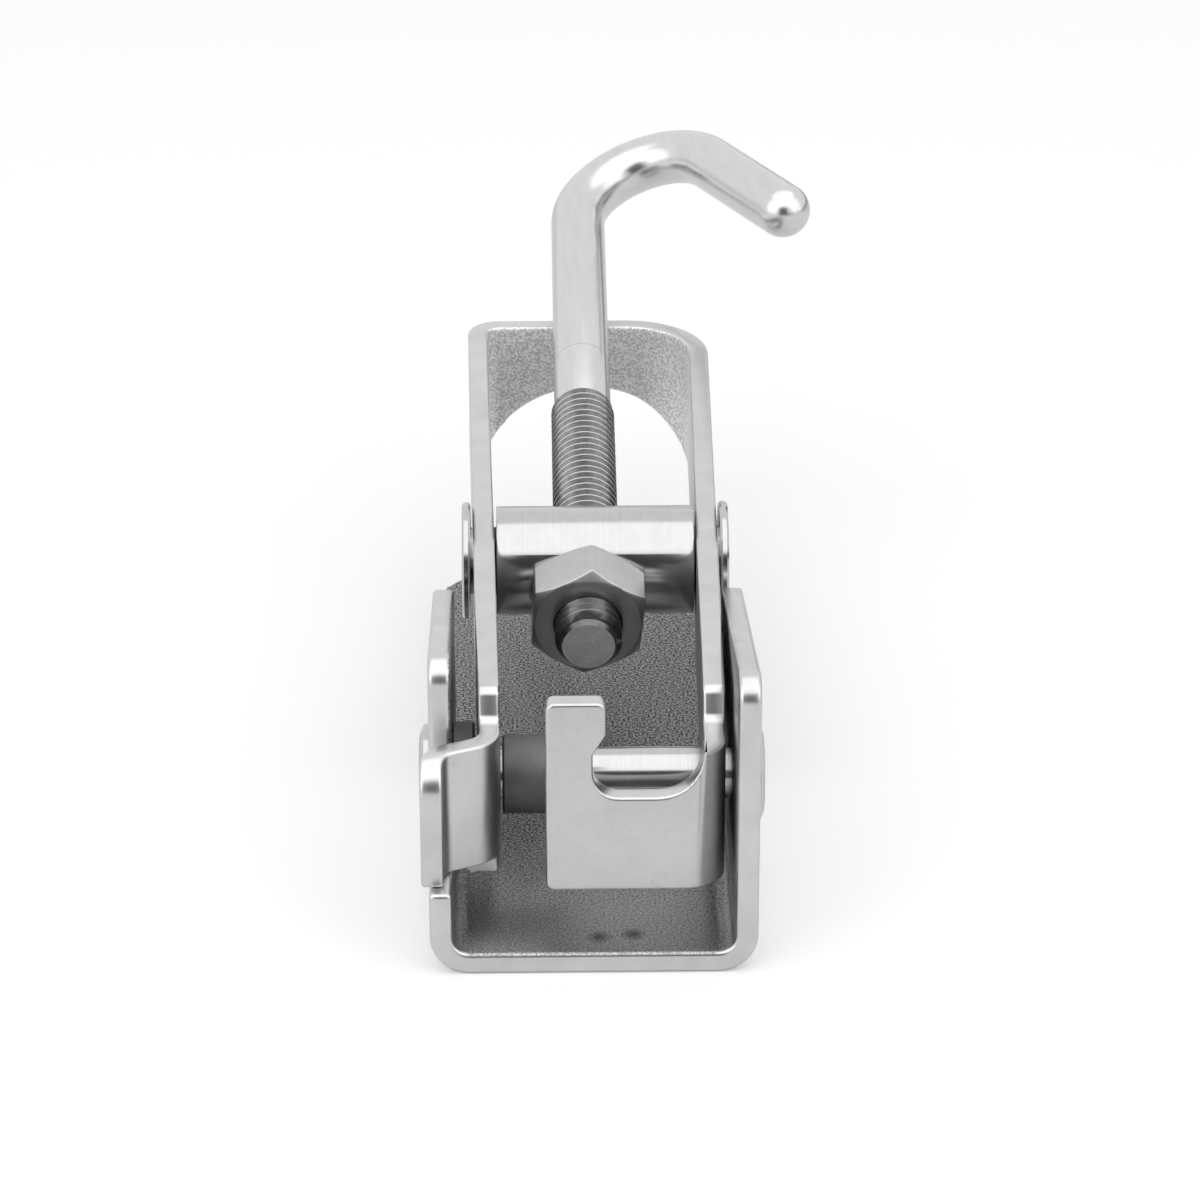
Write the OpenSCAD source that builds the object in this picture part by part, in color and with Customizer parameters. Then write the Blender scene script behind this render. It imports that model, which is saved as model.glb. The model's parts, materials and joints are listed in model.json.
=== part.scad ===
// Anchor chain tensioner: a folded base channel, a folded lever pinned in it,
// and a hooked bolt that a nut draws through a turning barrel.
// X points right, Y runs from the claw end to the hook end, Z is up.
// The origin is the middle of the base's underside.

/* [Sheet] */
// Thickness of the sheet that the base and the lever are folded from
sheet = 2.5; // [2:0.1:3]
// Inside radius of the folds
fold_r = 2; // [1.5:0.1:2.5]

/* [Base channel] */
// Length of the base floor
base_l = 102; // [98:1:110]
// Clear width between the side walls
base_in = 31.5; // [31.3:0.1:33]
// Height of the side walls at their front corner
wall_h = 36.5; // [35:0.5:38]
// Fall of the walls' top edge towards the rear, in degrees
wall_fall = 13; // [11:0.5:14]
// Gap between the walls' rear edge and the barrel's washers
wall_gap = 2; // [1:0.5:4]
// Rounding of the walls' front corner
wall_corner_r = 3; // [2:0.5:4]
// Rounding of the floor's two rear corners
floor_corner_r = 8; // [6:0.5:12]
// Height of the stop lip at the front of the left wall
lip_h = 10; // [9:0.5:11]
// How far the left wall stands back above the lip
lip_l = 10; // [9.5:0.5:11]

/* [Deck screws] */
// Diameter of the screw holes in the floor
screw_d = 6.5; // [5.5:0.1:7]
// Distance of the front hole from the front edge
screw_front = 42; // [38:1:46]
// Spacing of the two holes along the base
screw_pitch = 46; // [42:1:50]

/* [Pivot] */
// Distance of the pivot from the front edge
pivot_y = 18; // [17:0.5:20]
// Height of the pivot above the deck
pivot_z = 15.8; // [15:0.1:17]
// Diameter of the pivot rivet
pivot_d = 6; // [5:0.1:7]
// Diameter of the rivet heads
pivot_head_d = 11.5; // [10:0.1:13]
// Thickness of the rivet heads
pivot_head_t = 1.2; // [0.8:0.1:1.6]
// Height of the slope round the rivet heads
pivot_slope_h = 0.5; // [0.3:0.1:0.6]
// Width of that slope
pivot_slope_w = 1.2; // [0.8:0.1:1.5]
// Outer diameter of the sleeve on the rivet
sleeve_d = 9; // [8.2:0.1:10]
// Length of the sleeve
sleeve_l = 8; // [6:0.5:10]
// Outer diameter of the spacer beside the left arm
spacer_d = 12; // [10:0.5:14]

/* [Lever] */
// Clear width between the arms at the pivot
arm_in = 22.8; // [22:0.1:22.9]
// How far the lever sits to the right of the middle
lever_shift = 1; // [0.6:0.1:1.1]
// Outward lean of each arm along its length, in degrees
arm_spread = 1; // [0.5:0.1:1]
// Distance of the claw's front face from the base's front edge
claw_y = 4; // [3:0.5:5]
// Distance of the web's inner face from the base's front edge
web_y = 115; // [110:1:118]
// Inside radius of the right corner at the web
web_r_right = 8; // [6:0.5:9]
// Inside radius of the left corner at the web
web_r_left = 1.5; // [1:0.1:4]
// Height of the web's top edge
web_top = 31.6; // [31:0.1:32]
// Height of the web's bottom edge
web_bottom = 23; // [22:0.5:24]
// Height of the arms' top edge at their front corner
arm_top = 28.6; // [28:0.1:29.5]
// Distance of that corner from the base's front edge
arm_corner_y = 14; // [13.5:0.5:15]
// Length of the slope up to that corner, and the rounding at its ends
arm_step_l = 1.5; // [1:0.1:2]
// Height of the arms' bottom edge round the pivot
arm_bottom = 8.3; // [8:0.1:9]
// Height of the arms' bottom edge under the barrel
arm_waist = 14.5; // [14:0.1:15.5]
// Height of the arms' bottom edge where they meet the web
arm_rear = 15.5; // [15:0.5:17]
// Radius of the arch cut under the web
arch_r = 14.8; // [13:0.1:16]
// Length of the deep part of the arms behind the pivot
arm_foot_l = 5; // [4:0.5:7]
// Length over which the arms narrow behind it
arm_slope_l = 7; // [5:0.5:10]
// Length of the narrow part behind the barrel
arm_waist_l = 8; // [5:1:12]
// Length of the level part in front of the web
arm_rear_l = 16; // [12:1:20]
// Rounding of the corners along the arms' bottom edge
arm_round = 6; // [3:0.5:8]
// Height of the top edge of the claw plate and the tab
flange_top = 25; // [24:0.5:26]

/* [Claw] */
// How far the claw plate reaches to the left of the middle
claw_left = 5.3; // [4.5:0.1:6]
// Height of the claw's bottom edge
claw_bottom = 8.3; // [7.5:0.1:9]
// Height of the finger's top
finger_top = 31.4; // [30:0.1:32]
// Width of the finger's head
finger_w = 6.7; // [6:0.1:7]
// How far the finger is cut in below its head
finger_cut = 1.5; // [1:0.1:2]
// Height over which the finger narrows below its head
finger_slope_h = 2.5; // [2:0.1:3]
// Height of the notch's bottom
notch_z = 19.8; // [19:0.1:21]
// Radius in the notch's left corner
notch_r = 3; // [2:0.5:3.5]
// Rounding of the claw's outer corners
claw_corner_r = 1; // [0.5:0.1:1.5]

/* [Tab] */
// Sideways step of the joggle on the left arm
joggle_x = 6.4; // [6:0.1:6.6]
// Distance of the tab's front edge from the base's front edge
tab_front = 1.5; // [0.5:0.5:2]
// Distance from the tab's front edge to the joggle's front corner
joggle_set = 4; // [3.5:0.1:4.5]
// Length of the joggle's ramp along the lever
joggle_run = 3; // [2.5:0.1:3.5]
// Rounding of the tab's front corner
tab_corner_r = 4; // [2:0.5:5]

/* [Barrel] */
// Distance of the barrel's axis from the base's front edge
barrel_y = 57; // [55:0.5:58]
// Height of the barrel's axis
barrel_z = 24.6; // [24:0.1:25]
// Diameter of the barrel
barrel_d = 13; // [12:0.1:14]
// Diameter of the turned-down ends that run in the arms
spigot_d = 8; // [7:0.1:9]
// Diameter of the washers riveted on the ends
washer_d = 14; // [12:0.1:15]
// Thickness of those washers
washer_t = 1; // [0.8:0.1:1.2]

/* [Hook bolt] */
// Outer diameter of the thread
thread_d = 7.9; // [7.8:0.01:8]
// Diameter of the plain rod, as the thread is rolled
rod_d = 7.1; // [6.9:0.05:7.2]
// Distance of the bolt's front end from the barrel's axis
bolt_front = 17.6; // [17:0.1:18]
// Chamfer on the bolt's front end
bolt_chamfer = 1; // [0.6:0.1:1.2]
// Length of thread behind the barrel's axis
thread_rear = 33; // [28:1:36]
// Distance from the barrel's axis to the start of the bend
hook_start = 78; // [74:1:84]
// Radius of the bend on the rod's axis
hook_r = 10; // [9:0.1:12]
// Angle of the bend, in degrees
hook_bend = 152; // [140:1:165]
// Straight length after the bend
hook_tail = 20; // [16:0.5:22]
// How far the hook leans up out of the level, in degrees
hook_roll = 20; // [0:1:30]

/* [Nut] */
// Width of the nut across its flats
nut_af = 13; // [12.7:0.1:13]
// Height of the nut
nut_h = 6.5; // [6:0.1:6.8]
// How much smaller the nut's round faces are than its flats
nut_face_cut = 0.4; // [0.2:0.1:0.6]
// How far the nut is turned from a flat on top, in degrees
nut_turn = 34; // [0:1:60]

/* [Clearances] */
// Running clearance on a radius
run_gap = 0.08; // [0.05:0.01:0.1]
// Clearance between parts that pass or rest side by side
side_gap = 0.3; // [0.25:0.05:0.4]
// Gap under the tab as it rests on the stop lip
rest_gap = 0.1; // [0.05:0.05:0.2]

/* [Hidden] */
$fn = 64;
eps = 0.01;

base_w = base_in + 2 * sheet;
wall_l = barrel_y - washer_d / 2 - wall_gap;
steel = [0.78, 0.78, 0.77];
bright = [0.86, 0.86, 0.85];
reach = 200;

// Arm planes: half the clear width grows along the lever
function arm_half(y) = arm_in / 2 + (y - pivot_y) * tan(arm_spread);
arm_left_out = lever_shift - arm_half(pivot_y) - sheet / cos(arm_spread);
spacer_t = arm_left_out + base_in / 2 - side_gap;

// The bolt rises so that its rod lies on the web's top edge
seat_y = web_y - barrel_y;
seat_drop = web_top + side_gap - barrel_z;
bolt_rise = atan2(seat_drop, seat_y) + asin((rod_d / 2) / sqrt(seat_y * seat_y + seat_drop * seat_drop));

// Puts a shape that is measured from the base's front edge into place
module from_front() {
    translate([0, -base_l / 2, 0]) children();
}

// Extrudes an outline drawn in X and Z along Y
module along_y(y0, y1) {
    translate([0, y1, 0]) rotate([90, 0, 0]) linear_extrude(y1 - y0) children();
}

// Extrudes an outline drawn in Y and Z along X
module along_x(x0, x1) {
    translate([x0, 0, 0]) rotate([90, 0, 90]) linear_extrude(x1 - x0) children();
}

// Round bar along X between two places
module bar_x(d, x0, x1) {
    translate([x0, 0, 0]) rotate([0, 90, 0]) cylinder(d = d, h = x1 - x0);
}

// Places its children on the pivot or on the barrel, with their axis at the origin
module at_pivot() {
    from_front() translate([0, pivot_y, pivot_z]) children();
}
module at_barrel() {
    from_front() translate([0, barrel_y, barrel_z]) children();
}

// Turns Z into the bolt's own direction, from the barrel towards the hook
module along_bolt() {
    at_barrel() rotate([bolt_rise - 90, 0, 0]) children();
}

// Rectangle with one radius on all four corners
module round_rect(x0, y0, x1, y1, r) {
    translate([x0 + r, y0]) square([x1 - x0 - 2 * r, y1 - y0]);
    translate([x0, y0 + r]) square([x1 - x0, y1 - y0 - 2 * r]);
    for (x = [x0 + r, x1 - r], y = [y0 + r, y1 - r]) translate([x, y]) circle(r);
}

// Outline of a channel's inside or outside, round at its two lower corners
module trough(w, z0, r) {
    translate([-w / 2, z0 + r]) square([w, wall_h]);
    translate([-w / 2 + r, z0]) square([w - 2 * r, 2 * r]);
    for (s = [-1, 1]) translate([s * (w / 2 - r), z0 + r]) circle(r);
}

// Side view of a wall: upright ends, round corners and a top edge that falls to the rear
module wall_side(y0) {
    low = [[y0, 0], [wall_l, 0]];
    high = [for (q = low) [q[0], wall_h - q[0] * tan(wall_fall)]];
    polygon(concat([low[0]], corner_arc(low[0], high[0], high[1], wall_corner_r),
                   corner_arc(high[0], high[1], low[1], wall_corner_r), [low[1]]));
}

module base_channel() {
    floor_z = sheet + fold_r;
    color(steel) from_front() difference() {
        intersection() {
            along_y(0, base_l) difference() {
                trough(base_w, 0, fold_r + sheet);
                trough(base_in, sheet, fold_r);
            }
            union() {
                linear_extrude(sheet) floor_plan();
                along_x(-base_w, -base_in / 4) wall_side(lip_l);
                along_x(-base_w, -base_in / 4) square([lip_l + wall_corner_r, lip_h]);
                along_x(base_in / 4, base_w) wall_side(0);
            }
        }
        translate([0, pivot_y, pivot_z]) bar_x(pivot_d, -base_w, base_w);
        for (y = [screw_front, screw_front + screw_pitch])
            translate([0, y, -eps]) cylinder(d = screw_d, h = floor_z);
    }
}

// Plan of the floor with its rear corners rounded
module floor_plan() {
    r = floor_corner_r;
    translate([-base_w / 2, 0]) square([base_w, base_l - r]);
    translate([-base_w / 2 + r, 0]) square([base_w - 2 * r, base_l]);
    for (s = [-1, 1]) translate([s * (base_w / 2 - r), base_l - r]) circle(r);
}

// Points of one rounded corner of a path, given the corner, its neighbours and the radius
function corner_arc(before, at, after, r) =
    let (u = (before - at) / norm(before - at),
         v = (after - at) / norm(after - at),
         half = acos(u * v) / 2,
         set = r / tan(half),
         mid = at + (u + v) / norm(u + v) * r / sin(half),
         from = at + u * set - mid,
         to = at + v * set - mid,
         a0 = atan2(from[1], from[0]),
         turn = (atan2(to[1], to[0]) - a0 + 540) % 360 - 180,
         n = max(2, ceil(abs(turn) / 6)))
    [for (k = [0:n]) mid + r * [cos(a0 + turn * k / n), sin(a0 + turn * k / n)]];

// Which way a path turns at a corner: 1 to the left, -1 to the right
function side_of(a, b, c) = (b[0] - a[0]) * (c[1] - b[1]) - (b[1] - a[1]) * (c[0] - b[0]) > 0 ? 1 : -1;

// Point of a path moved sideways by d, to the left of the way it runs
function left_of(a) = [-a[1], a[0]] / norm(a);
function moved(path, i, d) =
    let (last = len(path) - 1,
         back = i > 0 ? left_of(path[i] - path[i - 1]) : left_of(path[1] - path[0]),
         fore = i < last ? left_of(path[i + 1] - path[i]) : left_of(path[last] - path[last - 1]))
    path[i] + (back + fore) * d / (1 + back * fore);

// One edge of the folded strip: its middle line moved sideways, with the corners rounded
function strip_edge(path, radii, d) =
    let (last = len(path) - 1, pts = [for (i = [0:last]) moved(path, i, d)])
    [for (i = [0:last]) each i == 0 || i == last ? [pts[i]]
        : corner_arc(pts[i - 1], pts[i], pts[i + 1],
                     radii[i] - d * side_of(path[i - 1], path[i], path[i + 1]))];

// Outline of a strip of sheet folded along a path
function reversed(list) = [for (i = [len(list) - 1:-1:0]) list[i]];
module folded(path, radii) {
    polygon(concat(strip_edge(path, radii, sheet / 2), reversed(strip_edge(path, radii, -sheet / 2))));
}

// Plan of the lever: claw plate, right arm, web, left arm, joggle and tab
bend_mid = fold_r + sheet / 2;
claw_mid_y = claw_y + sheet / 2;
web_mid_y = web_y + sheet / 2;
arm_lead = sheet / 2 / cos(arm_spread);
right_front = lever_shift + arm_half(claw_mid_y) + arm_lead;
right_rear = lever_shift + arm_half(web_mid_y) + arm_lead;
joggle_front = tab_front + joggle_set;
joggle_rear = joggle_front + joggle_run;
left_rear = 2 * lever_shift - right_rear;
left_front = lever_shift - arm_half(joggle_rear) - arm_lead;
tab_mid_x = left_front - joggle_x;

module lever_plan() {
    folded([[-claw_left, claw_mid_y], [right_front, claw_mid_y], [right_rear, web_mid_y],
            [left_rear, web_mid_y], [left_front, joggle_rear], [tab_mid_x, joggle_front],
            [tab_mid_x, tab_front]],
           [0, bend_mid, web_r_right + sheet / 2, web_r_left + sheet / 2, bend_mid, bend_mid, 0]);
}

// An outline with a radius on each of its corners, or none
function rounded(pts, radii) =
    let (n = len(pts))
    [for (i = [0:n - 1]) each radii[i] == 0 ? [pts[i]]
        : corner_arc(pts[(i + n - 1) % n], pts[i], pts[(i + 1) % n], radii[i])];

// Side view of the arms and the web
module arm_side() {
    front = claw_y + sheet + fold_r;
    rear = web_y + sheet;
    foot = pivot_y + arm_foot_l;
    polygon(rounded([[front, flange_top], [arm_corner_y - arm_step_l, flange_top], [arm_corner_y, arm_top],
                     [rear, web_top], [rear, arm_rear], [web_y - arm_rear_l, arm_rear],
                     [barrel_y + arm_waist_l, arm_waist], [foot + arm_slope_l, arm_waist],
                     [foot, arm_bottom], [front, arm_bottom]],
                    [0, arm_step_l, arm_step_l, 0, 0, arm_round, arm_round, arm_round, arm_round, 0]));
}

// Front view of the claw: plate, finger with its cut-in neck, and the notch beside it
module claw_front() {
    left = -claw_left;
    head = left + finger_w;
    neck = head - finger_cut;
    notch_h = flange_top - notch_z;
    notch_right = lever_shift + arm_half(claw_y) - notch_h;
    low = claw_bottom + claw_corner_r;
    difference() {
        union() {
            round_rect(left, claw_bottom, base_w, notch_z, claw_corner_r);
            round_rect(left, notch_z, head, finger_top, claw_corner_r);
            translate([left, low]) square([base_w, flange_top - low]);
        }
        translate([neck + notch_r, notch_z + notch_r]) circle(notch_r);
        translate([neck, notch_z + notch_r]) square([notch_right - neck, notch_h - notch_r]);
        translate([neck + notch_r, notch_z]) square([notch_right - neck - notch_r, notch_h]);
        translate([notch_right, flange_top]) circle(notch_h);
        translate([head, flange_top]) square([reach, reach]);
        polygon([[neck, flange_top], [head, flange_top], [head, flange_top + finger_slope_h]]);
    }
}

// Side view of the joggle and the tab, resting on the stop lip
module tab_side() {
    low = lip_h + rest_gap;
    rear = arm_corner_y - arm_step_l;
    round_y = tab_front + tab_corner_r;
    translate([tab_front, low]) square([rear - tab_front, flange_top - low - tab_corner_r]);
    translate([round_y, low]) square([rear - round_y, flange_top - low]);
    translate([round_y, flange_top - tab_corner_r]) circle(tab_corner_r);
}

module lever() {
    color(steel) from_front() difference() {
        intersection() {
            linear_extrude(wall_h) lever_plan();
            union() {
                along_x(-reach, reach) arm_side();
                along_y(0, claw_y + sheet + fold_r) claw_front();
                along_x(-reach, -claw_left - sheet) tab_side();
            }
        }
        translate([0, pivot_y, pivot_z]) bar_x(pivot_d + 2 * run_gap, -base_w, base_w);
        translate([0, barrel_y, barrel_z]) bar_x(spigot_d + 2 * run_gap, -base_w, base_w);
        translate([lever_shift, web_y + 2 * sheet, web_bottom - arch_r]) rotate([90, 0, 0])
            cylinder(r = arch_r, h = web_r_right + 4 * sheet);
    }
}

// Cross pin, headed over the outside of both walls
module pivot_rivet() {
    side_h = pivot_head_t - pivot_slope_h;
    color(bright) at_pivot() {
        bar_x(pivot_d, -base_w / 2, base_w / 2);
        for (s = [0, 1]) mirror([s, 0, 0]) translate([base_w / 2, 0, 0]) rotate([0, 90, 0]) {
            cylinder(d = pivot_head_d, h = side_h);
            translate([0, 0, side_h])
                cylinder(d1 = pivot_head_d, d2 = pivot_head_d - 2 * pivot_slope_w, h = pivot_slope_h);
        }
    }
}

// Thicker sleeve on the left half of the pin, against the left arm
module pivot_sleeve() {
    left = lever_shift - arm_half(pivot_y) + side_gap;
    color(steel) at_pivot() difference() {
        bar_x(sleeve_d, left, left + sleeve_l);
        bar_x(pivot_d + 2 * run_gap, left - 1, left + sleeve_l + 1);
    }
}

// Spacer that holds the lever off the left wall
module spacer_washer() {
    color(steel) at_pivot() difference() {
        bar_x(spacer_d, -base_in / 2, -base_in / 2 + spacer_t);
        bar_x(pivot_d + 2 * run_gap, -base_w, 0);
    }
}

// Turned cross bar with stepped ends and a cross hole along the bolt
barrel_half = arm_half(barrel_y) - side_gap;
spigot_half = arm_half(barrel_y) + sheet + side_gap;
module barrel() {
    color(bright) difference() {
        at_barrel() translate([lever_shift, 0, 0]) {
            bar_x(barrel_d, -barrel_half, barrel_half);
            bar_x(spigot_d, -spigot_half - washer_t, spigot_half + washer_t);
        }
        along_bolt() translate([0, 0, -barrel_d]) cylinder(d = thread_d + 2 * run_gap, h = 2 * barrel_d);
    }
}

// Washers riveted on the barrel's ends, outside the arms
module barrel_washers() {
    color(bright) at_barrel() translate([lever_shift, 0, 0])
        for (s = [0, 1]) mirror([s, 0, 0]) difference() {
            bar_x(washer_d, spigot_half, spigot_half + washer_t);
            bar_x(spigot_d, 0, spigot_half + 2 * washer_t);
        }
}

// Rod with a rolled thread at the front, bent to a hook with a domed tip at the rear
module hook_bolt() {
    thread_r = thread_d / 2;
    rod_r = rod_d / 2;
    color(bright) along_bolt() rotate([0, 0, 180 - hook_roll]) {
        rotate_extrude() polygon([[0, -bolt_front], [thread_r - bolt_chamfer, -bolt_front],
            [thread_r, bolt_chamfer - bolt_front], [thread_r, thread_rear - bolt_chamfer],
            [rod_r, thread_rear], [rod_r, hook_start], [0, hook_start]]);
        translate([-hook_r, 0, hook_start]) {
            rotate([90, 0, 0]) rotate_extrude(angle = hook_bend) translate([hook_r, 0]) circle(r = rod_r);
            rotate([0, -hook_bend, 0]) translate([hook_r, 0, 0]) rotate_extrude() {
                square([rod_r, hook_tail]);
                translate([0, hook_tail]) intersection() {
                    circle(r = rod_r);
                    square(rod_d);
                }
            }
        }
    }
}

// Hexagon nut on the front side of the barrel, both faces chamfered
module hex_nut() {
    far = barrel_d / 2 + side_gap;
    corner = nut_af / cos(30);
    face_d = nut_af - nut_face_cut;
    wide_d = corner + nut_face_cut;
    cone_h = (wide_d - face_d) / 2 * tan(30);
    color(bright) along_bolt() rotate([0, 0, nut_turn]) translate([0, 0, -far - nut_h]) difference() {
        intersection() {
            cylinder(d = corner, h = nut_h, $fn = 6);
            union() {
                cylinder(d1 = face_d, d2 = wide_d, h = cone_h);
                translate([0, 0, cone_h]) cylinder(d = wide_d, h = nut_h - 2 * cone_h);
                translate([0, 0, nut_h - cone_h]) cylinder(d1 = wide_d, d2 = face_d, h = cone_h);
            }
        }
        translate([0, 0, -eps]) cylinder(d = thread_d + 2 * run_gap, h = nut_h + 2 * eps);
    }
}

base_channel();
lever();
pivot_rivet();
pivot_sleeve();
spacer_washer();
barrel();
barrel_washers();
hook_bolt();
hex_nut();
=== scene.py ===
import json
import math

import bmesh
import bpy
from mathutils import Matrix, Vector


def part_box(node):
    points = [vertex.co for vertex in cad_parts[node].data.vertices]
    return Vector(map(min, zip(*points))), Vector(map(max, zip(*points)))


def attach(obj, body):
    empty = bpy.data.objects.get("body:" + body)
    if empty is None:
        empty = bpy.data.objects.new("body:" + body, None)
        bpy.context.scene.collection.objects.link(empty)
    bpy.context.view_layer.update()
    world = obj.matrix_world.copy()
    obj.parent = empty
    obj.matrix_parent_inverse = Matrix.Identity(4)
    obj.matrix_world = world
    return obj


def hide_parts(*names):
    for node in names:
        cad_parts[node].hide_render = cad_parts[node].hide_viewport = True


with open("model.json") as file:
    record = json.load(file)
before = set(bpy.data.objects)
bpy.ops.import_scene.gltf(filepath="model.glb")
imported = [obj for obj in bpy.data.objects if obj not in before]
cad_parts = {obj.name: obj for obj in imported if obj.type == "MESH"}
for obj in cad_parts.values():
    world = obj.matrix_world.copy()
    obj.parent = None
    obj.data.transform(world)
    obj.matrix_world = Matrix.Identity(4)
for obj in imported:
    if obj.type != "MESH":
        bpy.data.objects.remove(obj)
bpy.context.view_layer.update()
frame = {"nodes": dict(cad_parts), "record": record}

# Base channel: stainless sheet, laser-cut and folded to a U, pickled so that its faces are
# finely grained and its cut edges stay smooth. Two deck screws hold it through the floor.
MM = 0.001


class Value:
    """A shader socket that takes part in Python expressions."""

    def __init__(self, tree, socket=None):
        self.tree, self.socket = tree, socket

    def out(self, kind, settings=None, output=0, **sockets):
        """Adds a node, its settings first and then its sockets, and gives back one of its outputs.
        A socket goes by its name, with _ for a space, or by _ and its number."""
        made = self.tree.nodes.new(kind)
        for name, setting in (settings or {}).items():
            if name == "stops":
                ramp = made.color_ramp.elements
                while len(ramp) < len(setting):
                    ramp.new(0.5)
                for stop, (place, grey) in zip(ramp, setting):
                    stop.position, stop.color = place, (grey, grey, grey, 1)
            else:
                setattr(made, name, setting)
        for name, value in sockets.items():
            key = int(name[1:]) if name[0] == "_" else name.replace("_", " ")
            if isinstance(value, Value):
                self.tree.links.new(value.socket, made.inputs[key])
            else:
                made.inputs[key].default_value = value
        return Value(self.tree, made.outputs[output])

    def into(self, socket):
        self.tree.links.new(self.socket, socket)

    def maths(self, operation, a, b=0.0):
        return self.out("ShaderNodeMath", {"operation": operation}, _0=a, _1=b)

    def __add__(self, other):
        return self.maths("ADD", self, other)

    def __sub__(self, other):
        return self.maths("SUBTRACT", self, other)

    def __rsub__(self, other):
        return self.maths("SUBTRACT", other, self)

    def __mul__(self, other):
        return self.maths("MULTIPLY", self, other)

    __radd__ = __add__
    __rmul__ = __mul__


def steel(name, roughness):
    """A bare metal material and the object coordinates its patterns are drawn on."""
    made = bpy.data.materials.new(name)
    made.use_nodes = True
    shader = made.node_tree.nodes["Principled BSDF"]
    shader.inputs["Metallic"].default_value = 1.0
    shader.inputs["Roughness"].default_value = roughness
    return made, shader, Value(made.node_tree).out("ShaderNodeTexCoord", output="Object")


def grey_between(place, low, high, amount):
    """A grey that goes from low to high with the amount."""
    return place.out("ShaderNodeMix", {"data_type": "RGBA"}, output=2, _0=amount,
                     _6=(low, low, low, 1), _7=(high, high, high, 1))


def grained(name, roughness, front, rear, scuffs=()):
    """Pickled sheet face: grey with fine dark pits, and dark scuffs at the given places.
    Front and rear give a Y, the grey between the pits there and how dark the pits are; the grading between
    them is painted shade."""
    made, shader, place = steel(name, roughness)
    grain = place.out("ShaderNodeTexNoise", Vector=place, Scale=3600.0, Detail=1.5, Roughness=0.5)
    pits = 1 - place.out("ShaderNodeValToRGB", {"stops": [(0.41, 0.0), (0.59, 1.0)]}, Fac=grain)
    along = place.out("ShaderNodeSeparateXYZ", output=1, _0=place)
    (front_y, *at_front), (rear_y, *at_rear) = front, rear
    # The grey and the pit depth are graded from front to rear: painted shade, darker where the face lies
    # deep among the other parts.
    top, depth = (place.out("ShaderNodeMapRange", _0=along, _1=front_y, _2=rear_y, _3=a, _4=b)
                  for a, b in zip(at_front, at_rear))
    shade = top - pits * depth
    for scuff in scuffs:
        away = place.out("ShaderNodeVectorMath", {"operation": "DISTANCE"}, output=1, _0=place, _1=scuff)
        shade = shade * place.out("ShaderNodeValToRGB", {"stops": [(0.15, 0.35), (1.0, 1.0)]},
                                  Fac=away * (0.6 / MM))
    grey_between(place, 0.0, 1.0, shade).into(shader.inputs["Base Color"])
    bump = place.out("ShaderNodeBump", Strength=0.3, Distance=0.05 * MM, Height=grain)
    bump.into(shader.inputs["Normal"])
    return made


# The floor's grey is painted darker from its front edge back to the middle: painted shade between the walls
# and under the lever.
pickled = grained("pickled_floor_painted_shade", 0.40, (-42.0 * MM, 0.54, 0.24), (-20.0 * MM, 0.38, 0.37),
                  [(0.6 * MM, -47.2 * MM, 2.5 * MM), (4.4 * MM, -46.6 * MM, 2.5 * MM)])

# Tumbled cut edge: smooth, light and faintly cloudy
tumbled, shader, place = steel("tumbled_edge", 0.29)
cloud = place.out("ShaderNodeTexNoise", Vector=place, Scale=220.0, Detail=4.0)
grey_between(place, 0.54, 0.76, cloud).into(shader.inputs["Base Color"])

# Rolled outer face: smooth, with faint cloudy stains and pin marks
rolled, shader, place = steel("rolled_face", 0.30)
stain = place.out("ShaderNodeTexNoise", Vector=place, Scale=160.0, Detail=5.0, Roughness=0.65)
pin = place.out("ShaderNodeTexNoise", Vector=place, Scale=1500.0, Detail=2.0)
spots = place.out("ShaderNodeValToRGB", {"stops": [(0.62, 0.0), (0.72, 1.0)]}, Fac=pin)
grey_between(place, 0.56, 0.72, stain - spots * 0.25).into(shader.inputs["Base Color"])


def copy_of(node):
    """A bmesh copy of a CAD node, merged, with its flat faces joined up again."""
    mesh = bmesh.new()
    mesh.from_mesh(frame["nodes"][node].data)
    bmesh.ops.remove_doubles(mesh, verts=mesh.verts, dist=2e-6)
    bmesh.ops.dissolve_limit(mesh, angle_limit=math.radians(1.2), verts=mesh.verts, edges=mesh.edges,
                             delimit={"NORMAL"})
    mesh.normal_update()
    return mesh


def round_edges(mesh, width, sharper_than=34.0, left=()):
    """Rounds the edges sharper than an angle, but not at the places (Y, Z, half size) left sharp."""

    def rounded(edge):
        return (len(edge.link_faces) == 2 and math.degrees(edge.calc_face_angle(0)) > sharper_than
                and not any(abs(v.co.y - y) < half and abs(v.co.z - z) < half
                            for y, z, half in left for v in edge.verts))

    bmesh.ops.bevel(mesh, geom=[e for e in mesh.edges if rounded(e)], offset=width, offset_type="OFFSET",
                    affect="EDGES", segments=3, profile=0.5, material=-1, loop_slide=False,
                    clamp_overlap=False)


def bore_for(node, radius):
    """The place of a cross bore, from the round node that goes through it."""
    low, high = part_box(node)
    return (low.y + high.y) / 2, (low.z + high.z) / 2, radius + 0.2 * MM


def finished(mesh, name, body, slot, materials, *nodes):
    """Makes the piece an object with smooth shading, on its body, in place of its CAD nodes."""
    data = bpy.data.meshes.new(name)
    for face in mesh.faces:
        face.smooth = True
    mesh.to_mesh(data)
    mesh.free()
    for material in materials:
        data.materials.append(material)
    piece = bpy.data.objects.new(name, data)
    bpy.context.scene.collection.objects.link(piece)
    data.set_sharp_from_angle(angle=math.radians(32))
    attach(piece, body)
    if nodes:
        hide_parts(*nodes)


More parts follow.
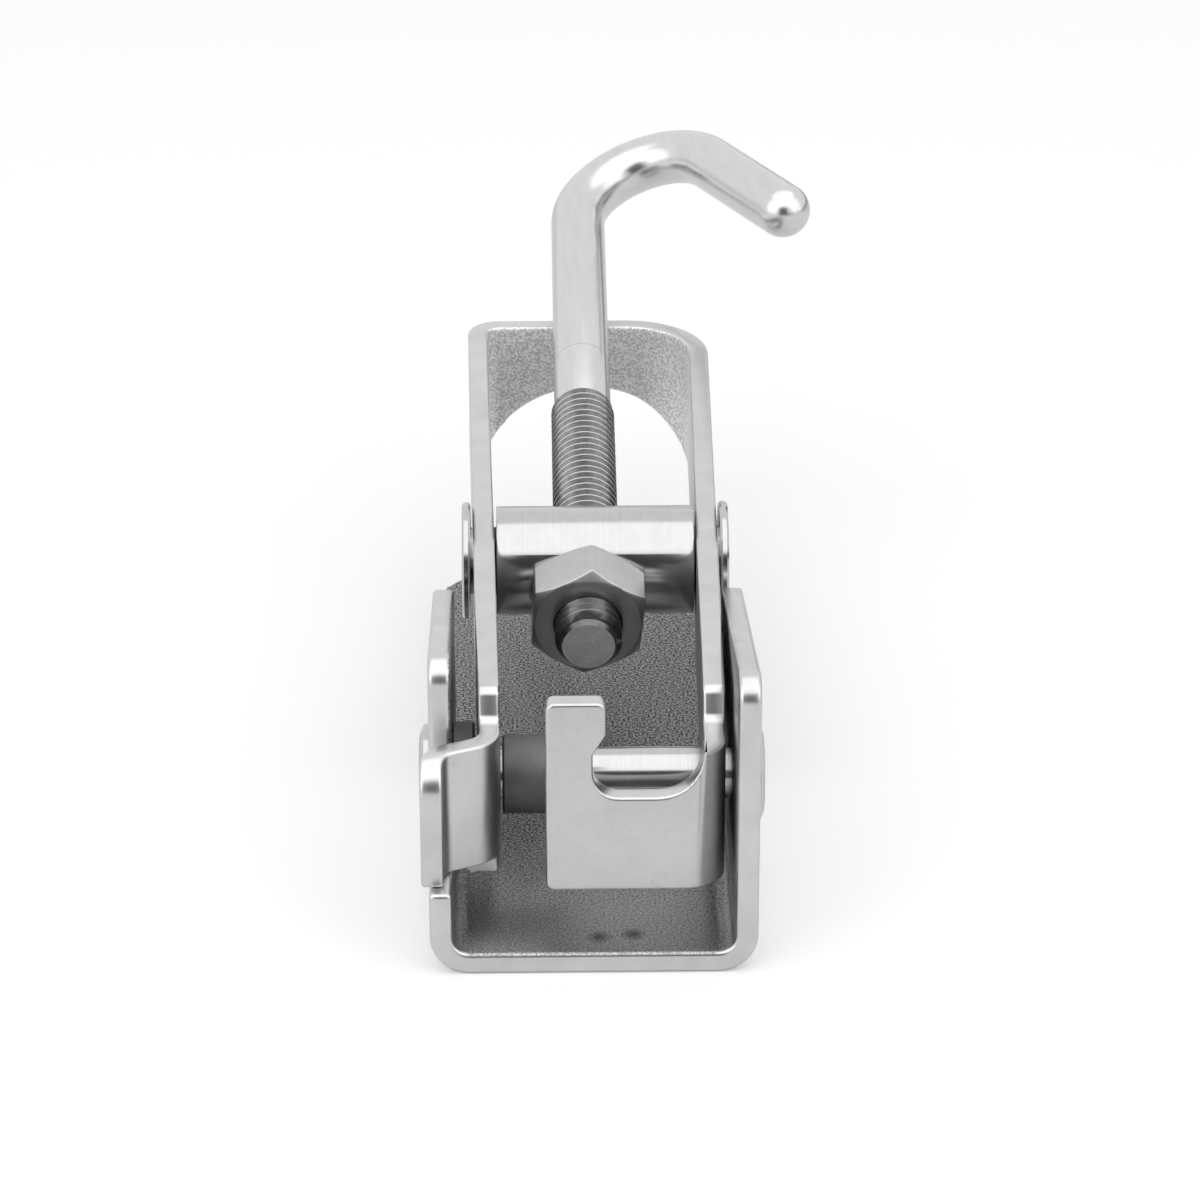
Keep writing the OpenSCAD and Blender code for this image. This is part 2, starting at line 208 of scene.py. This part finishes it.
FLOOR_TOP, FOLD_TOP = 3.0 * MM, 5.0 * MM
base = copy_of("base_channel")
for face in base.faces:
    middle, normal = face.calc_center_median(), face.normal
    on_floor = abs(normal.z) > 0.5 and middle.z < FLOOR_TOP and abs(normal.y) < 0.3
    on_wall = abs(normal.x) > 0.5 and abs(normal.y) < 0.3
    in_fold = middle.z < FOLD_TOP and abs(normal.y) < 0.3
    inside = normal.z > 0.3 if middle.z < FOLD_TOP else middle.x * normal.x < 0
    face.material_index = (0 if inside else 2) if on_floor or on_wall or in_fold else 1
WALL_FOOT = (-3.0 * MM, 2.5 * MM, 1.5 * MM)
round_edges(base, 0.5 * MM, left=[bore_for("pivot_rivet", 3.0 * MM), WALL_FOOT])
finished(base, "base_channel_dressed", "base", "sheet", [pickled, tumbled, rolled], "base_channel")

# Lever: one strip of the same sheet, cut with its claw and tab and folded round the barrel.
# It turns on the rivet and rests with its tab on the base's stop lip.
# The arms' inner faces are painted from dark at the front to light at the rear: painted shade where the claw
# and the base's walls close them in.
pickled_arms = grained("pickled_arms", 0.65, (-4.0 * MM, 0.29, 0.10), (22.0 * MM, 1.0, 0.32))
lever = copy_of("lever")
claw_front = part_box("lever")[0].y
claw_back = claw_front + 9.0 * MM
TAB_X, CLAW_LEFT_X, CLAW_RIGHT_X = -14.0 * MM, -8.0 * MM, 10.5 * MM
for face in lever.faces:
    middle, normal = face.calc_center_median(), face.normal
    top_or_bottom = abs(normal.z) > 0.25
    tab_end = normal.y < -0.7 and middle.x < TAB_X and middle.y < claw_front + 1.0 * MM
    claw_cut = abs(normal.y) < 0.3 and CLAW_LEFT_X < middle.x < CLAW_RIGHT_X and middle.y < claw_back
    inside = middle.x * normal.x < 0 or normal.y < -0.5
    inner_face = inside and middle.y > claw_back + 4.0 * MM
    face.material_index = 1 if top_or_bottom or tab_end or claw_cut else 0 if inner_face else 2
ARCH_ENDS = [(51.0 * MM, 15.5 * MM, 0.8 * MM), (57.4 * MM, 15.6 * MM, 1.2 * MM),
             (64.2 * MM, 16.2 * MM, 1.6 * MM)]
round_edges(lever, 0.38 * MM,
            left=[bore_for("pivot_rivet", 3.1 * MM), bore_for("barrel", 4.1 * MM), *ARCH_ENDS])
finished(lever, "lever_dressed", "lever", "sheet", [pickled_arms, tumbled, rolled], "lever")

# Pivot rivet, its sleeve and its spacer: turned from bar. The rivet's ends are headed over
# the outside of the walls.
turned, shader, place = steel("turned_bar", 0.15)
TURNING_PER_M = 5200.0
rings = place.out("ShaderNodeMapping", Vector=place, Scale=(TURNING_PER_M, 12.0, 12.0))
lines = place.out("ShaderNodeTexNoise", Vector=rings, Scale=1.0, Detail=2.0)
handled = place.out("ShaderNodeTexNoise", Vector=place, Scale=420.0, Detail=5.0, Roughness=0.7)
grey_between(place, 0.48, 0.66, lines * 0.35 + handled * 0.65).into(shader.inputs["Base Color"])
(0.13 + handled * 0.10).into(shader.inputs["Roughness"])


def turn_on_lathe(mesh, outline, y, z, closed):
    """Spins an outline of (along, radius) points round an axis in X at the given Y and Z."""
    points = [mesh.verts.new((along, y, z + radius)) for along, radius in outline]
    pairs = list(zip(points, points[1:])) + ([(points[-1], points[0])] if closed else [])
    edges = [mesh.edges.new(pair) for pair in pairs]
    bmesh.ops.spin(mesh, geom=points + edges, cent=(0, y, z), axis=(1, 0, 0), dvec=(0, 0, 0),
                   angle=2 * math.pi, steps=72, use_merge=True, use_normal_flip=False, use_duplicate=False)
    bmesh.ops.remove_doubles(mesh, verts=mesh.verts, dist=0.002 * MM)
    bmesh.ops.recalc_face_normals(mesh, faces=mesh.faces)


def ring_outline(x0, x1, bore_r, outer_r, cut):
    """Section of a plain ring with its two outer edges broken."""
    return [(x0, bore_r), (x0, outer_r - cut), (x0 + cut, outer_r), (x1 - cut, outer_r), (x1, outer_r - cut),
            (x1, bore_r)]


PIN_R, HEAD_T, HEAD_SLOPE_H, HEAD_SLOPE_W, BROKEN = 3.0 * MM, 1.2 * MM, 0.5 * MM, 1.2 * MM, 0.25 * MM
low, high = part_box("pivot_rivet")
pin_y, pin_z, head_r = (low.y + high.y) / 2, (low.z + high.z) / 2, (high.z - low.z) / 2
half_outline = [(high.x, 0.0), (high.x, head_r - HEAD_SLOPE_W), (high.x - HEAD_SLOPE_H, head_r),
                (high.x - HEAD_T, head_r), (high.x - HEAD_T, PIN_R)]
rivet = bmesh.new()
turn_on_lathe(rivet, half_outline + [(-along, radius) for along, radius in reversed(half_outline)],
              pin_y, pin_z, closed=False)
finished(rivet, "pivot_rivet_dressed", "base", "turned", [turned], "pivot_rivet")
# The sleeve and spacer are very dark grey: painted shade and a painted dark reflection, where they sit deep
# between the lever and the base.
dull, shader, place = steel("sleeve_painted_shade", 0.60)
film = place.out("ShaderNodeTexNoise", Vector=place, Scale=500.0, Detail=4.0, Roughness=0.65)
grey_between(place, 0.10, 0.26, film).into(shader.inputs["Base Color"])
(0.50 + film * 0.20).into(shader.inputs["Roughness"])
for node in ("pivot_sleeve", "spacer_washer"):
    low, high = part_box(node)
    ring = bmesh.new()
    turn_on_lathe(ring, ring_outline(low.x, high.x, PIN_R + 0.08 * MM, (high.z - low.z) / 2, BROKEN),
                  pin_y, pin_z, closed=True)
    finished(ring, node + "_dressed", "base", "turned", [dull], node)

# Barrel and its washers: a turned cross bar with stepped ends that run in the arms. The
# washers are riveted on outside.
bar = copy_of("barrel")
round_edges(bar, 0.2 * MM)
finished(bar, "barrel_dressed", "barrel", "turned", [turned], "barrel")
SPIGOT_R, WASHER_T = 4.0 * MM, 1.0 * MM
low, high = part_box("barrel_washers")
washers = bmesh.new()
for x0 in (low.x, high.x - WASHER_T):
    turn_on_lathe(washers, ring_outline(x0, x0 + WASHER_T, SPIGOT_R, (high.z - low.z) / 2, BROKEN),
                  (low.y + high.y) / 2, (low.z + high.z) / 2, closed=True)
finished(washers, "barrel_washers_dressed", "barrel", "turned", [turned], "barrel_washers")

# Hook bolt: drawn rod, threaded by rolling at the front and bent cold to a hook. It slides
# through the barrel's cross hole.
THREAD_D, ROOT_D, ROD_D, PITCH = 7.9 * MM, 6.6 * MM, 7.1 * MM, 1.25 * MM
BOLT_FRONT, THREAD_REAR, BEND_START = 17.6 * MM, 33.0 * MM, 78.0 * MM
BEND_R, BEND_ANGLE, TAIL = 10.0 * MM, math.radians(152), 20.0 * MM
barrel_low, barrel_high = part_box("barrel")
slide = next(j for j in frame["record"]["behaviour"]["joints"] if j["name"] == "hook_slide")
bolt_way = -Vector(slide["axis"])
bolt_down = bolt_way.cross(Vector((1, 0, 0)))
on_barrel = (barrel_low + barrel_high) / 2
on_barrel.x = 0.0
bolt_frame = Matrix((Vector((1, 0, 0)), bolt_down, bolt_way)).transposed().to_4x4()
bolt_frame.translation = on_barrel
lean = Matrix.Rotation(math.radians(-20), 4, "Z")

# Drawn rod: bright satin, with faint marks along it and one ring left by the bending tool
satin, shader, place = steel("satin_rod", 0.25)
draw = place.out("ShaderNodeMapping", Vector=place, Scale=(900.0, 60.0, 900.0))
streaks = place.out("ShaderNodeTexNoise", Vector=draw, Scale=1.0, Detail=3.0)
RING_AT = 42.7 * MM + bolt_way.dot(on_barrel)
along_rod = place.out("ShaderNodeVectorMath", {"operation": "DOT_PRODUCT"}, output=1, _0=place, _1=bolt_way)
off_ring = place.maths("ABSOLUTE", along_rod - RING_AT) * (1.0 / MM)
clear = place.out("ShaderNodeValToRGB", {"stops": [(0.0, 0.6), (0.25, 1.0)]}, Fac=off_ring)
grey_between(place, 0.40, 0.70, (0.75 + streaks * 0.4) * clear).into(shader.inputs["Base Color"])

rod = bmesh.new()
SIDES = 48
ROD_FROM = THREAD_REAR - 1.2 * MM
bmesh.ops.create_circle(rod, cap_ends=True, segments=SIDES, radius=ROOT_D / 2,
                        matrix=Matrix.Translation((0, 0, ROD_FROM)))


def pushed_on(mesh, rim, move):
    """Extrudes an open rim and moves the new one on."""
    grown = bmesh.ops.extrude_edge_only(mesh, edges=rim)["geom"]
    points = [g for g in grown if isinstance(g, bmesh.types.BMVert)]
    bmesh.ops.transform(mesh, matrix=move, verts=points)
    return [g for g in grown if isinstance(g, bmesh.types.BMEdge)]


def wider(from_d, to_d, middle):
    """A change of diameter about a place."""
    about = Matrix.Translation(middle)
    return about @ Matrix.Scale(to_d / from_d, 4) @ about.inverted()


STEP_L = 0.5 * MM
rim = pushed_on(rod, list(rod.edges),
                Matrix.Translation((0, 0, STEP_L)) @ wider(ROOT_D, ROD_D, (0, 0, ROD_FROM)))
rim = pushed_on(rod, rim, Matrix.Translation((0, 0, BEND_START - ROD_FROM - STEP_L)))
bent = bmesh.ops.spin(rod, geom=rim, cent=(BEND_R, 0, BEND_START), axis=(0, 1, 0), dvec=(0, 0, 0),
                      angle=BEND_ANGLE, steps=48, use_merge=False, use_normal_flip=False,
                      use_duplicate=False)
rim = [g for g in bent["geom_last"] if isinstance(g, bmesh.types.BMEdge)]
tail_way = Vector((math.sin(BEND_ANGLE), 0, math.cos(BEND_ANGLE)))
rim = pushed_on(rod, rim, Matrix.Translation(tail_way * TAIL))
DOME_STEPS, DOME_TO = 12, math.radians(88)
reached, across = 0.0, ROD_D
for step in range(1, DOME_STEPS + 1):
    turn = DOME_TO * step / DOME_STEPS
    new_reach, new_across = math.sin(turn) * ROD_D / 2, math.cos(turn) * ROD_D
    ring = list(dict.fromkeys(v for e in rim for v in e.verts))
    middle = sum((v.co for v in ring), Vector()) / len(ring)
    rim = pushed_on(rod, rim, Matrix.Translation(tail_way * (new_reach - reached))
                    @ wider(across, new_across, middle))
    reached, across = new_reach, new_across
bmesh.ops.contextual_create(rod, geom=rim)
bmesh.ops.recalc_face_normals(rod, faces=rod.faces)
bmesh.ops.transform(rod, matrix=bolt_frame @ lean, verts=rod.verts)
finished(rod, "hook_rod", "hook", "rod", [satin], "hook_bolt")

# The rolled thread: one crest wound round the rod, cut down to the chamfer at the front and
# running out into the rod at the rear. Its crests are painted light, a painted highlight, and its flanks
# very dark, painted shade.
# Flanks: very dark grey, painted shade in the grooves
flank, shader, place = steel("thread_flank_painted_shade", 0.30)
mottle = place.out("ShaderNodeTexNoise", Vector=place, Scale=1400.0, Detail=3.0)
grey_between(place, 0.10, 0.30, mottle).into(shader.inputs["Base Color"])
# Crests: light grey, a painted highlight
crest, shader, place = steel("thread_crest_painted_highlight", 0.22)
rubbed = place.out("ShaderNodeTexNoise", Vector=place, Scale=1400.0, Detail=3.0)
grey_between(place, 0.60, 0.88, rubbed).into(shader.inputs["Base Color"])

thread = bmesh.new()
TURN_STEPS = 40
first = -BOLT_FRONT + 0.4 * MM
turns = math.floor((THREAD_REAR - first) / PITCH) - 1
profile = [(ROOT_D / 2, 0.0), (THREAD_D / 2, 0.42), (THREAD_D / 2, 0.58), (ROOT_D / 2, 1.0)]
points = [thread.verts.new((r, 0, first + share * PITCH)) for r, share in profile]
strip = [thread.edges.new(pair) for pair in zip(points, points[1:])]
bmesh.ops.spin(thread, geom=points + strip, cent=(0, 0, 0), axis=(0, 0, 1),
               dvec=(0, 0, PITCH / TURN_STEPS), angle=2 * math.pi * turns, steps=TURN_STEPS * turns,
               use_merge=False, use_normal_flip=False, use_duplicate=False)
bmesh.ops.remove_doubles(thread, verts=thread.verts, dist=0.01 * MM)
for face in thread.faces:
    face.material_index = 1 if face.calc_center_median().xy.length > THREAD_D / 2 - 0.1 * MM else 0
END_R, END_L = ROOT_D / 2 - 0.2 * MM, 0.9 * MM
for point in thread.verts:
    across = point.co.xy.length
    room = min(END_R + point.co.z + BOLT_FRONT, ROOT_D / 2 + 0.5 * (THREAD_REAR - point.co.z))
    if across > max(room, ROOT_D / 2):
        point.co.xy *= max(room, ROOT_D / 2) / across
bmesh.ops.holes_fill(thread, edges=[e for e in thread.edges if len(e.link_faces) == 1], sides=0)
bmesh.ops.recalc_face_normals(thread, faces=thread.faces)
end = bmesh.ops.create_cone(thread, cap_ends=True, segments=SIDES, radius1=END_R, radius2=ROOT_D / 2,
                            depth=END_L, matrix=Matrix.Translation((0, 0, -BOLT_FRONT + END_L / 2)))
bmesh.ops.transform(thread, matrix=bolt_frame, verts=thread.verts)

# Sawn and faced bolt end: fine rings round its middle
faced, shader, place = steel("faced_end", 0.60)
end_middle = bolt_frame @ Vector((0, 0, -BOLT_FRONT))
out_from = place.out("ShaderNodeVectorMath", {"operation": "DISTANCE"}, output=1, _0=place, _1=end_middle)
wave = place.maths("SINE", out_from * (9.0 / MM))
patch = place.out("ShaderNodeTexNoise", Vector=place, Scale=700.0, Detail=3.0)
grey_between(place, 0.70, 0.98, patch + wave * 0.10).into(shader.inputs["Base Color"])
for face in {f for v in end["verts"] for f in v.link_faces if len(f.verts) > 4}:
    face.material_index = 2
finished(thread, "rolled_thread", "hook", "rod", [flank, crest, faced])

# Hexagon nut: plain stainless, machined, its faces chamfered. It draws the bolt through the
# barrel.
machined, shader, place = steel("machined_nut", 0.38)
wear = place.out("ShaderNodeTexNoise", Vector=place, Scale=900.0, Detail=4.0)
grey_between(place, 0.48, 0.60, wear).into(shader.inputs["Base Color"])
nut = copy_of("hex_nut")
round_edges(nut, 0.12 * MM, sharper_than=20)
finished(nut, "hex_nut_dressed", "nut", "nut", [machined], "hex_nut")

# Studio: a white table that runs on into a white surround, with soft light from above and
# from both sides. None of it belongs to the part.
table = bmesh.new()
bmesh.ops.create_grid(table, x_segments=1, y_segments=1, size=3.0)
table_mesh = bpy.data.meshes.new("table")
table.to_mesh(table_mesh)
table.free()
white = bpy.data.materials.new("white_table")
white.use_nodes = True
shader = white.node_tree.nodes["Principled BSDF"]
shader.inputs["Base Color"].default_value = (0.95, 0.95, 0.95, 1)
shader.inputs["Roughness"].default_value = 0.9
shader.inputs["Emission Strength"].default_value = 1.0
camera_ray = Value(white.node_tree).out("ShaderNodeLightPath", output="Is Camera Ray")
grey_between(camera_ray, 0.0, 0.20, camera_ray).into(shader.inputs["Emission Color"])
table_mesh.materials.append(white)
table_top = bpy.data.objects.new("table", table_mesh)
bpy.context.scene.collection.objects.link(table_top)

world = bpy.data.worlds.new("studio")
bpy.context.scene.world = world
world.use_nodes = True
sky = world.node_tree.nodes["Background"]
sky.inputs["Color"].default_value = (1, 1, 1, 1)
# The surround is white to the eye, straight on or in metal, and gives less light than it shows
camera_ray, glossy, through = (Value(world.node_tree).out("ShaderNodeLightPath", output=ray)
                               for ray in ("Is Camera Ray", "Is Glossy Ray", "Is Transmission Ray"))
shown = camera_ray.maths("MINIMUM", camera_ray + glossy + through, 1.0)
(0.54 + shown * 0.40).into(sky.inputs["Strength"])


def softbox(name, place, size, watts):
    """A square lamp that faces the part."""
    lamp = bpy.data.lights.new(name, "AREA")
    lamp.size, lamp.energy = size, watts
    stand = bpy.data.objects.new(name, lamp)
    stand.location = place
    stand.rotation_euler = (Vector((0, 0, 0.02)) - Vector(place)).to_track_quat("-Z", "Y").to_euler()
    bpy.context.scene.collection.objects.link(stand)


softbox("overhead", (0.03, -0.25, 0.8), 1.3, 3.5)
softbox("left_front", (-0.7, -0.5, 0.45), 0.8, 1.5)
softbox("right_front", (0.75, -0.35, 0.4), 0.8, 1.1)

# Dark cards: one behind the camera and a low one round the right side, for the dark lines in
# the bright metal. The camera itself sees them as white.
cards = bmesh.new()
CARD_Y, CARD_HALF, CARD_H = -1.3, 0.45, 1.0
cards.faces.new([cards.verts.new((x, CARD_Y, z)) for x, z in ((-CARD_HALF, 0.0), (CARD_HALF, 0.0),
                                                              (CARD_HALF, CARD_H), (-CARD_HALF, CARD_H))])
LOW_R, LOW_H, LOW_FROM, LOW_TURN = 1.6, 0.16, math.radians(80), math.radians(-160)
foot = cards.verts.new((LOW_R * math.cos(LOW_FROM), LOW_R * math.sin(LOW_FROM), 0.0))
head = cards.verts.new((foot.co.x, foot.co.y, LOW_H))
bmesh.ops.spin(cards, geom=[foot, head, cards.edges.new((foot, head))], cent=(0, 0, 0), axis=(0, 0, 1),
               dvec=(0, 0, 0), angle=LOW_TURN, steps=40, use_merge=False, use_normal_flip=False,
               use_duplicate=False)
card_mesh = bpy.data.meshes.new("dark_cards")
cards.to_mesh(card_mesh)
cards.free()
dark = bpy.data.materials.new("dark_card")
dark.use_nodes = True
shader = dark.node_tree.nodes["Principled BSDF"]
shader.inputs["Base Color"].default_value = (0.05, 0.05, 0.05, 1)
shader.inputs["Roughness"].default_value = 0.9
camera_ray = Value(dark.node_tree).out("ShaderNodeLightPath", output="Is Camera Ray")
plain = camera_ray.out("ShaderNodeEmission", Color=(1, 1, 1, 1))
mixed = camera_ray.out("ShaderNodeMixShader", _0=camera_ray,
                       _1=Value(dark.node_tree, shader.outputs["BSDF"]), _2=plain)
mixed.into(dark.node_tree.nodes["Material Output"].inputs["Surface"])
card_mesh.materials.append(dark)
card_set = bpy.data.objects.new("dark_cards", card_mesh)
bpy.context.scene.collection.objects.link(card_set)

# Camera: a long lens in front of the claw, raised and looking down at the part from 25
# degrees, a little left of its middle.
camera_data = bpy.data.cameras.new("camera")
camera_data.lens, camera_data.sensor_width = 141.0, 36.0
camera_data.clip_start, camera_data.clip_end = 0.01, 20.0
camera = bpy.data.objects.new("camera", camera_data)
front_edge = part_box("base_channel")[0].y
camera.location = (-7.33 * MM, front_edge - 456.4 * MM, 258.7 * MM)
camera.rotation_euler = (math.radians(90 - 25), 0, math.radians(-1.0))
bpy.context.scene.collection.objects.link(camera)
bpy.context.scene.camera = camera
bpy.context.scene.view_settings.view_transform = "Standard"
